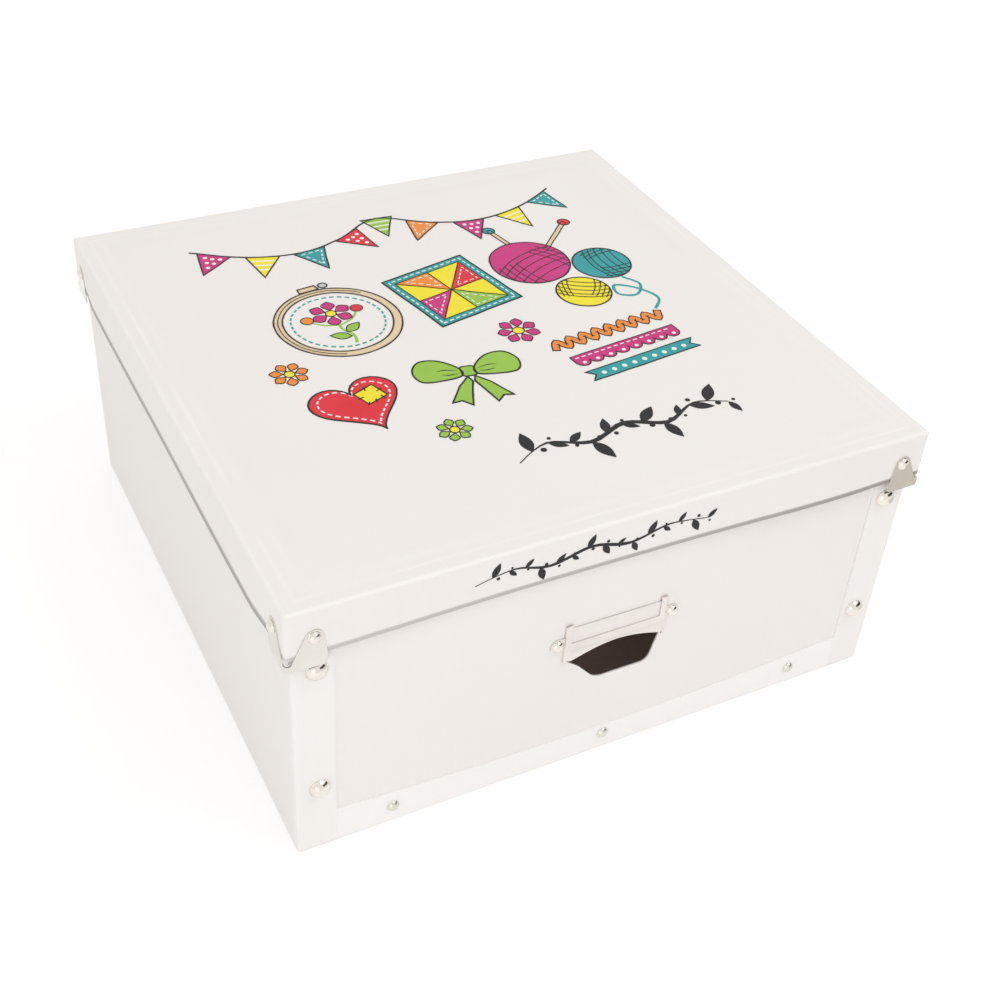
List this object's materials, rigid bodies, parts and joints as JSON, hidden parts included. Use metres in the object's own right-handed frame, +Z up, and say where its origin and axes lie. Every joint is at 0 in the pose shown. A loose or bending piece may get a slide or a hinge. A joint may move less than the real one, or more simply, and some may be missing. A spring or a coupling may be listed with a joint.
{
  "type": "sewing box",
  "caption": "Square white folded-plastic storage box with a lift-off lid, riveted metal corners, press-stud edges and a finger pull that holds a card.",
  "frame": {"origin": "middle of the underside, on the surface that the box stands on", "axes": "+X to the right along the front, +Y from the front to the back, +Z up out of the lid"},
  "size_m": [0.3662, 0.3662, 0.168],
  "materials": {
    "body_plastic": "satin white polypropylene sheet",
    "panel_plastic": "satin white polypropylene sheet",
    "lid_plastic": "satin white polypropylene sheet",
    "nickel_metal": "bright nickel plate",
    "corner_metal": "bright nickel plate on stamped sheet",
    "pull_metal": "bright nickel plate on stamped sheet",
    "inner_metal": "plain nickel plate",
    "card": "uncoated white card"
  },
  "bodies": {
    "box": {"body_shell": "body_plastic", "front_panel": "panel_plastic", "back_panel": "panel_plastic", "press_stud_caps": "nickel_metal", "press_stud_posts": "nickel_metal", "press_stud_sockets": "inner_metal", "press_stud_backings": "inner_metal", "base_rivets_front": "nickel_metal", "base_rivets_back": "nickel_metal", "base_rivet_washers": "inner_metal", "pull_plate": "pull_metal", "pull_rivets": "nickel_metal", "pull_rivet_washers": "inner_metal"},
    "lid": {"lid_sheet": "lid_plastic", "lid_corner_front_left": "corner_metal", "lid_corner_front_right": "corner_metal", "lid_corner_back_left": "corner_metal", "lid_corner_back_right": "corner_metal", "lid_rivets_sides": "nickel_metal", "lid_rivets_front_back": "nickel_metal", "lid_rivet_washers_sides": "inner_metal", "lid_rivet_washers_front_back": "inner_metal"},
    "label": {"label_card": "card"}
  },
  "joints": [
    {"name": "lid_lift", "type": "slide", "parent": "box", "child": "lid", "axis": [0, 0, 1], "range_m": [0, 0.1]},
    {"name": "card_slide", "type": "slide", "parent": "box", "child": "label", "axis": [0, 0, 1], "range_m": [0, 0.02]}
  ]
}
